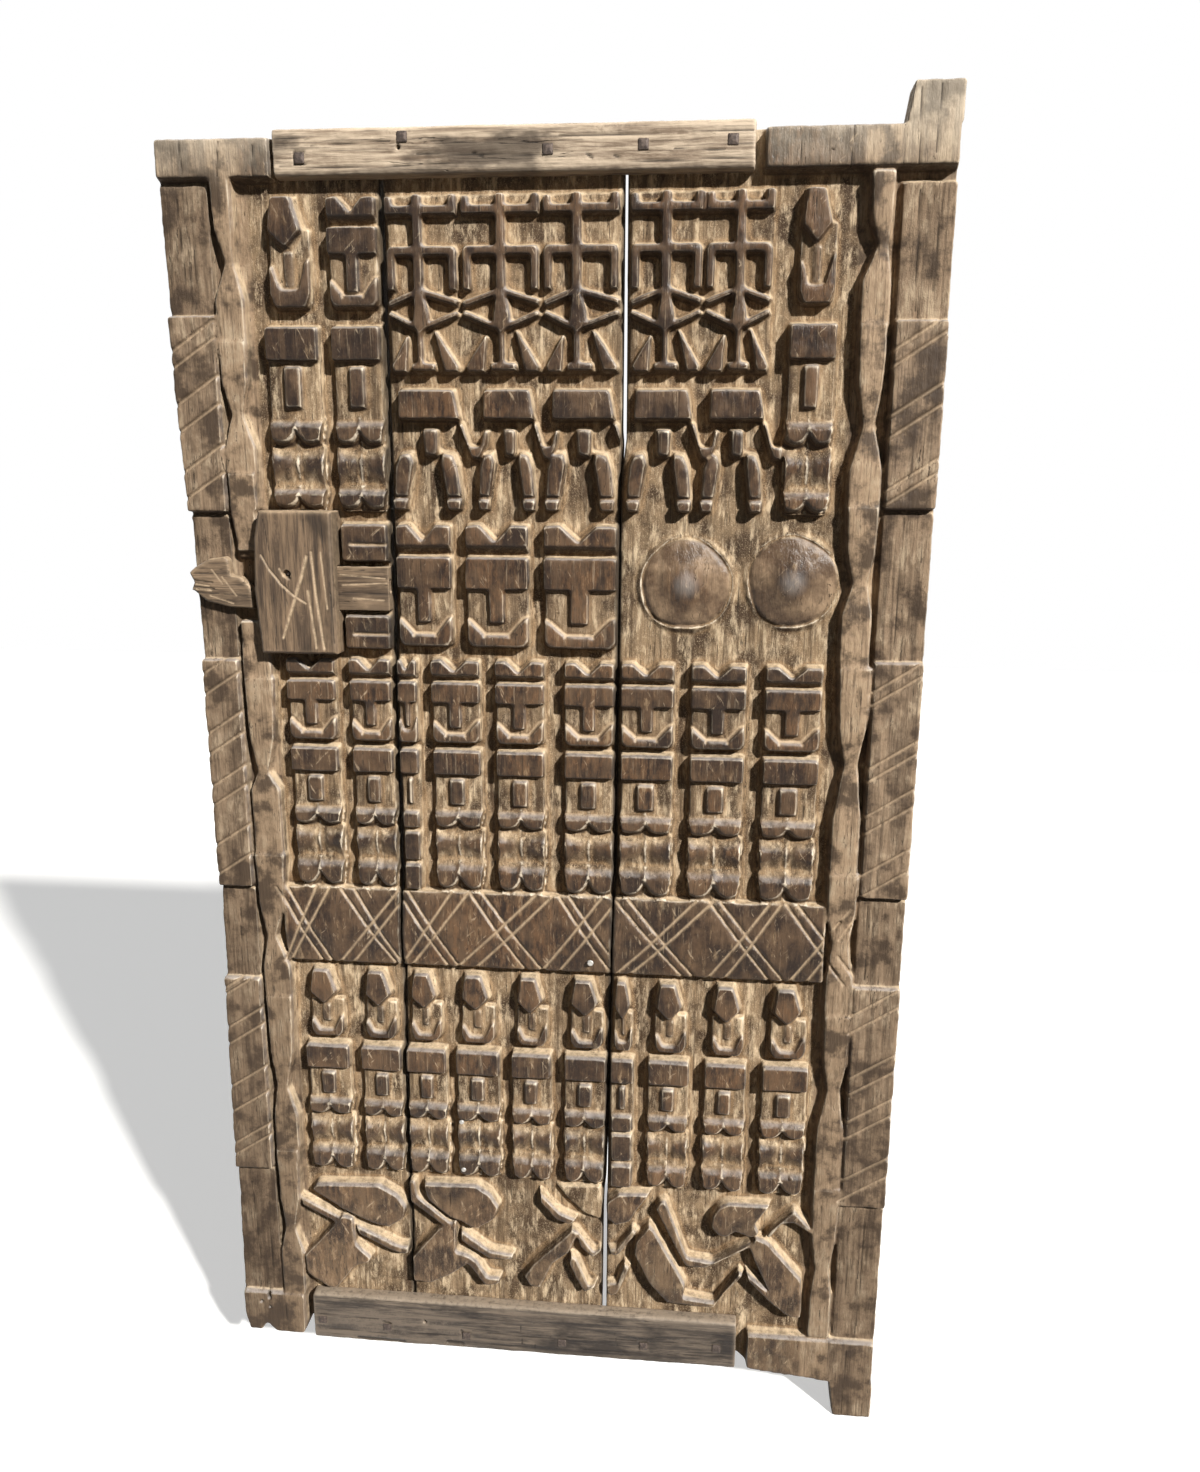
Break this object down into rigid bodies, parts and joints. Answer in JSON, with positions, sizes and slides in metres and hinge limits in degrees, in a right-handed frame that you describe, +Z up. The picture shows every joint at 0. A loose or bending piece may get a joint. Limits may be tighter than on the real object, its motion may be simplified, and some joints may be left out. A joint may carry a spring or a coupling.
{
  "type": "granary door",
  "caption": "Carved wooden plank door on integral pivots, held by two nailed battens, with rows of relief figures and a sliding bolt lock with drop tumblers.",
  "frame": {"origin": "foot of the lower pivot, on the axis that the door swings about, half way through the door's thickness", "axes": "+Z up along the swing axis, +X to the right seen from the carved side, so that the leaf lies on -X, -Y out of the carved side"},
  "size_m": [0.85, 0.067, 1.6],
  "materials": {
    "plank_wood": "worn dark patina on raised carving, dusty tan ground",
    "pale_batten_wood": "dry, weathered",
    "dark_batten_wood": "dry, weathered",
    "lock_wood": "handled, satin",
    "tumbler_wood": "plain",
    "forged_iron": "rusty, forged",
    "tack_metal": "dull, pale"
  },
  "bodies": {
    "leaf": {"left_plank": "plank_wood", "middle_plank": "plank_wood", "right_plank": "plank_wood", "top_batten": "pale_batten_wood", "bottom_batten": "dark_batten_wood", "top_batten_nails": "forged_iron", "bottom_batten_nails": "forged_iron", "round_tacks": "tack_metal", "lock_case": "lock_wood", "lock_case_spikes": "forged_iron", "lock_case_nail": "forged_iron"},
    "bolt": {"lock_bolt": "lock_wood"},
    "left_tumbler": {"tumbler_left": "tumbler_wood"},
    "middle_tumbler": {"tumbler_middle": "tumbler_wood"},
    "right_tumbler": {"tumbler_right": "tumbler_wood"}
  },
  "joints": [
    {"name": "bolt_slide", "type": "slide", "parent": "leaf", "child": "bolt", "axis": [-1, 0, 0], "range_m": [0, 0.055]},
    {"name": "tumbler_left_lift", "type": "slide", "parent": "leaf", "child": "left_tumbler", "axis": [0, 0, 1], "range_m": [0, 0.012]},
    {"name": "tumbler_middle_lift", "type": "slide", "parent": "leaf", "child": "middle_tumbler", "axis": [0, 0, 1], "range_m": [0, 0.012]},
    {"name": "tumbler_right_lift", "type": "slide", "parent": "leaf", "child": "right_tumbler", "axis": [0, 0, 1], "range_m": [0, 0.012]}
  ]
}
